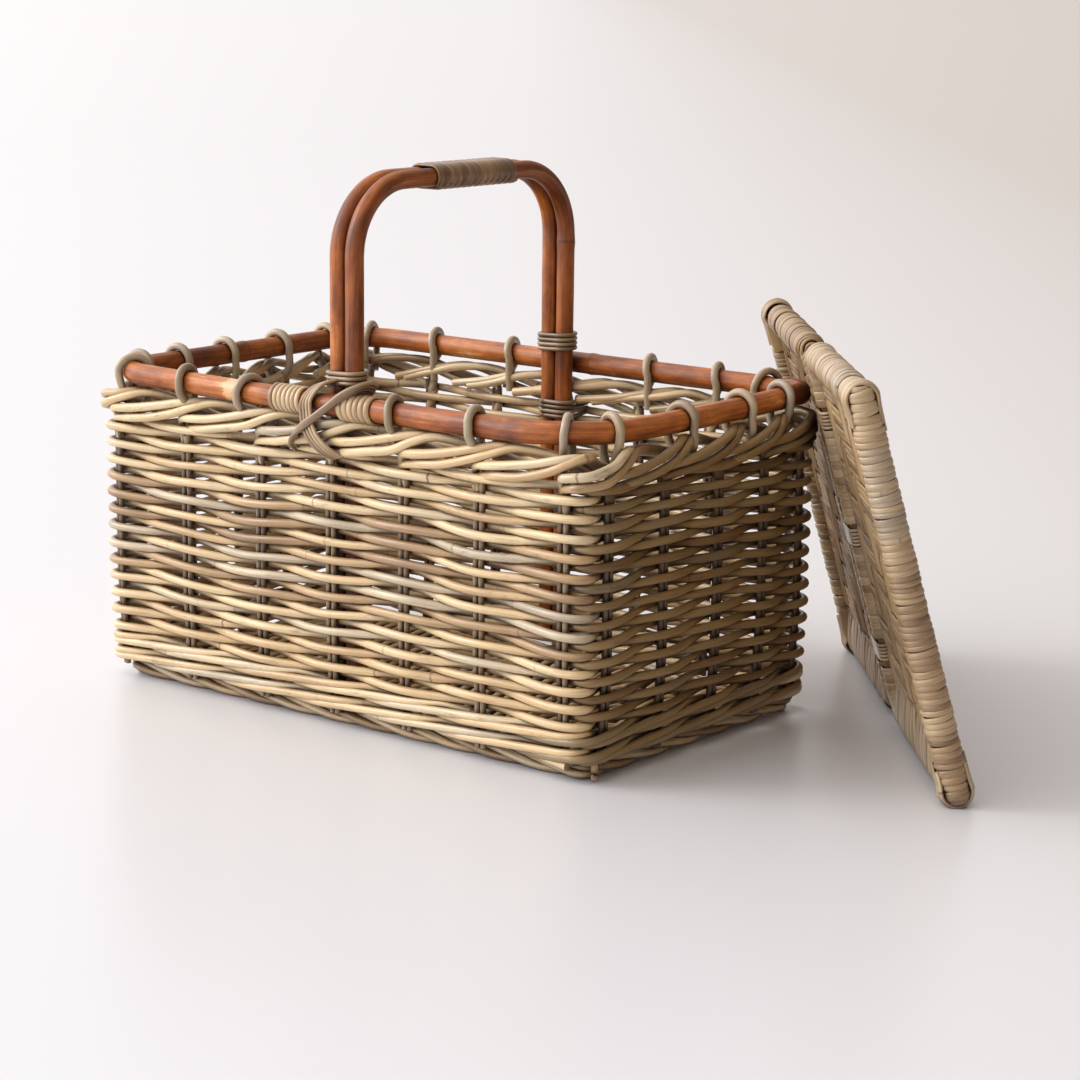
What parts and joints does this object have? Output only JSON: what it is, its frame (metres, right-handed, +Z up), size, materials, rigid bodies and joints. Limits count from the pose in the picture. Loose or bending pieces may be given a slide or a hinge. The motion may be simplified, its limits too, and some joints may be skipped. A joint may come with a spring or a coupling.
{
  "type": "wicker basket",
  "caption": "Rectangular wicker basket with a fixed bow handle over its open top, a pole rim, and a separate folding plaited lid leaning on one corner.",
  "frame": {"origin": "centre of the basket's footprint, on the floor", "axes": "+X along the basket's length towards the end where the lid leans, +Y across the basket, +Z up"},
  "size_m": [0.6837, 0.4621, 0.3966],
  "materials": {
    "weaving_cane": "satin natural grey-tan rattan cane",
    "stake_cane": "satin grey-brown rattan cane",
    "loop_cane": "satin grey-brown rattan cane",
    "lashing_cane": "satin dark grey-brown split cane",
    "binding_strip": "satin split cane strip",
    "stained_pole": "satin orange-brown stained rattan pole",
    "lid_pole": "natural rattan pole",
    "lid_wrap": "satin split cane strip",
    "lid_plait": "satin plaited split cane"
  },
  "bodies": {
    "basket": {"base_sticks": "stake_cane", "base_weave": "weaving_cane", "foot_border": "weaving_cane", "front_stakes": "stake_cane", "back_stakes": "stake_cane", "left_stakes": "stake_cane", "right_stakes": "stake_cane", "front_waling": "weaving_cane", "back_waling": "weaving_cane", "left_waling": "weaving_cane", "right_waling": "weaving_cane", "front_weave": "weaving_cane", "back_weave": "weaving_cane", "left_weave": "weaving_cane", "right_weave": "weaving_cane", "front_border": "weaving_cane", "back_border": "weaving_cane", "left_border": "weaving_cane", "right_border": "weaving_cane", "rim_pole": "stained_pole", "front_rim_loops": "loop_cane", "back_rim_loops": "loop_cane", "left_rim_loops": "loop_cane", "right_rim_loops": "loop_cane", "corner_rim_loops": "loop_cane", "handle_pole_left": "stained_pole", "handle_pole_right": "stained_pole", "grip_binding": "binding_strip", "front_cross_lashing": "lashing_cane", "front_rim_binding_left": "binding_strip", "front_rim_binding_right": "binding_strip", "back_upper_lashing": "lashing_cane", "back_lower_lashing": "lashing_cane"},
    "far_flap": {"far_flap_pole": "lid_pole", "far_flap_top_wrap": "lid_wrap", "far_flap_bottom_wrap": "lid_wrap", "far_flap_end_wrap": "lid_wrap", "far_flap_middle_wrap": "lid_wrap", "far_flap_panel": "lid_plait"},
    "near_flap": {"near_flap_pole": "lid_pole", "near_flap_top_wrap": "lid_wrap", "near_flap_bottom_wrap": "lid_wrap", "near_flap_end_wrap": "lid_wrap", "near_flap_middle_wrap": "lid_wrap", "near_flap_panel": "lid_plait", "hinge_turns": "lid_wrap"}
  },
  "joints": [
    {"name": "lid_lift", "type": "slide", "parent": "basket", "child": "far_flap", "axis": [0, 0, 1], "range_m": [0, 0.3]},
    {"name": "lid_fold", "type": "hinge", "parent": "far_flap", "child": "near_flap", "pos_m": [0.26783, 0.1312, 0.14067], "axis": [-0.1986, -0.1763, 0.9641], "range_deg": [0, 120]}
  ]
}
